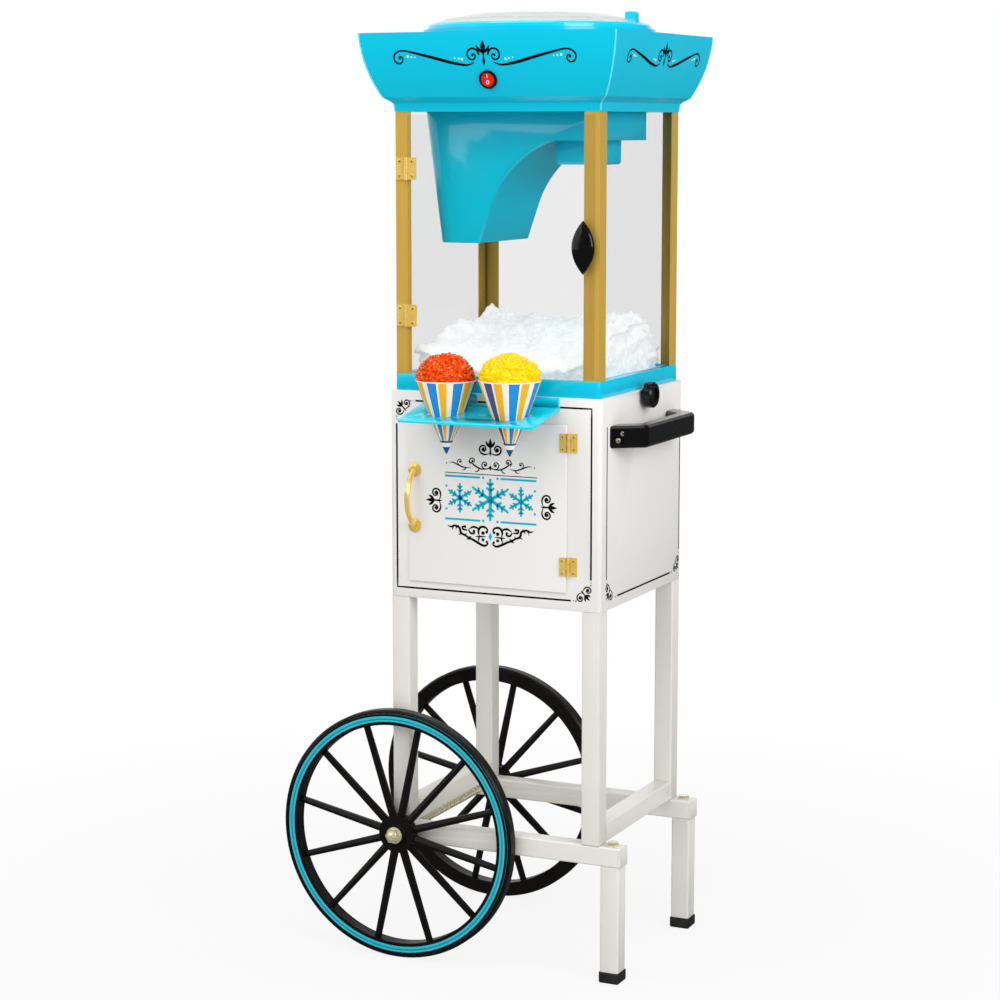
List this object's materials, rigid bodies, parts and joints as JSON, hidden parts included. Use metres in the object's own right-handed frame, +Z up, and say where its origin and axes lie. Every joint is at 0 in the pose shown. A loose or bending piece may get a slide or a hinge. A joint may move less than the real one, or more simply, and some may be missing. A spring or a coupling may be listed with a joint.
{
  "type": "snow cone cart with ice shaver",
  "caption": "Carnival snow cone cart: an electric ice shaver over a clear case on a storage cabinet, with a tube frame, spoked wheels, push handle and cone shelf.",
  "frame": {"origin": "on the floor under the middle of the whole cart, so the middle of the bounding box of wheels, shelf and handle", "axes": "+Z up; +Y from the front (cone shelf and doors) to the rear; +X from the wheels towards the push handle"},
  "size_m": [0.4842, 0.3908, 1.22],
  "materials": {
    "cream_paint": "semi-gloss cream enamel",
    "white_panel": "smooth white lacquer",
    "black_rubber": "matte",
    "black_plastic": "gloss black",
    "dark_wheel": "satin brown-black",
    "blue_ring": "satin turquoise",
    "blue_plastic": "gloss turquoise",
    "gold_angle": "satin gold anodised",
    "clear_pane": "clear acrylic",
    "brass": "polished",
    "zinc": "zinc plated",
    "red_switch": "translucent red",
    "steel_blade": "ground",
    "gear_plastic": "natural nylon",
    "motor_can": "drawn steel"
  },
  "bodies": {
    "cart": {"axle": "zinc", "axle_nuts": "zinc", "axle_washers": "zinc", "base_tray": "blue_plastic", "cabinet_back": "white_panel", "cabinet_face_frame": "white_panel", "cabinet_floor": "white_panel", "cabinet_left": "white_panel", "cabinet_right": "white_panel", "case_hinges_fixed": "brass", "cone_shelf": "blue_plastic", "corner_angle_front_left": "gold_angle", "corner_angle_front_right": "gold_angle", "corner_angle_rear_left": "gold_angle", "corner_angle_rear_right": "gold_angle", "cross_rails": "cream_paint", "disc_spindle": "zinc", "door_catch": "black_plastic", "feet": "black_rubber", "hopper": "blue_plastic", "housing_floor": "blue_plastic", "ice_chute": "blue_plastic", "leg_bolts": "zinc", "legs": "cream_paint", "lid_hinge": "blue_plastic", "motor": "motor_can", "motor_cover": "blue_plastic", "pane_left": "clear_pane", "pane_rear": "clear_pane", "pane_right": "clear_pane", "post_front_left": "cream_paint", "post_front_right": "cream_paint", "post_rear_left": "cream_paint", "post_rear_right": "cream_paint", "push_handle": "black_plastic", "rail_caps": "cream_paint", "rail_front": "cream_paint", "rail_rear": "cream_paint", "storage_hinges_fixed": "brass", "switch_bezel": "black_plastic", "top_housing": "blue_plastic"},
    "wheel_front": {"wheel_front": "dark_wheel", "wheel_ring_front": "blue_ring"},
    "wheel_rear": {"wheel_rear": "dark_wheel", "wheel_ring_rear": "blue_ring"},
    "case_door": {"case_door": "clear_pane", "case_hinges_moving": "brass", "case_door_knob": "black_plastic"},
    "storage_door": {"storage_door": "white_panel", "storage_hinges_moving": "brass", "door_pull": "brass"},
    "lid": {"lid_ring": "blue_plastic", "lid_dome": "clear_pane"},
    "switch_rocker": {"rocker": "red_switch"},
    "shaver": {"shaver_disc": "gear_plastic", "shaver_blades": "steel_blade"},
    "drive_pinion": {"motor_pinion": "gear_plastic"},
    "knob_right": {"clamp_knob_right": "black_plastic"},
    "knob_left": {"clamp_knob_left": "black_plastic"}
  },
  "joints": [
    {"name": "wheel_front_spin", "type": "hinge", "parent": "cart", "child": "wheel_front", "pos_m": [-0.07705, -0.12645, 0.1651], "axis": [0, 1, 0], "continuous": true},
    {"name": "wheel_rear_spin", "type": "hinge", "parent": "cart", "child": "wheel_rear", "pos_m": [-0.07705, 0.17195, 0.1651], "axis": [0, 1, 0], "continuous": true},
    {"name": "case_door_hinge", "type": "hinge", "parent": "cart", "child": "case_door", "pos_m": [-0.06775, -0.11195, 0.92965], "axis": [0, 0, -1], "range_deg": [0, 110]},
    {"name": "storage_door_hinge", "type": "hinge", "parent": "cart", "child": "storage_door", "pos_m": [0.15925, -0.11845, 0.6052], "axis": [0, 0, 1], "range_deg": [0, 110]},
    {"name": "lid_hinge_turn", "type": "hinge", "parent": "cart", "child": "lid", "pos_m": [0.05615, 0.17595, 1.2017], "axis": [-1, 0, 0], "range_deg": [0, 100]},
    {"name": "rocker_tilt", "type": "hinge", "parent": "cart", "child": "switch_rocker", "pos_m": [0.05615, -0.12948, 1.13463], "axis": [1, 0, 0], "range_deg": [0, 14]},
    {"name": "disc_spin", "type": "hinge", "parent": "cart", "child": "shaver", "pos_m": [0.05615, 0.02275, 1.1035], "axis": [0, 0, 1], "continuous": true},
    {"name": "motor_spin", "type": "hinge", "parent": "cart", "child": "drive_pinion", "pos_m": [0.12515, 0.02275, 1.1035], "axis": [0, 0, 1], "continuous": true},
    {"name": "clamp_knob_right_turn", "type": "hinge", "parent": "cart", "child": "knob_right", "pos_m": [0.20655, 0.02275, 0.7381], "axis": [1, 0, 0], "continuous": true},
    {"name": "clamp_knob_left_turn", "type": "hinge", "parent": "cart", "child": "knob_left", "pos_m": [-0.09425, 0.02275, 0.7381], "axis": [1, 0, 0], "continuous": true}
  ],
  "couplings": [
    {"joint": "motor_spin", "follows": "disc_spin", "ratio": -3.6}
  ]
}
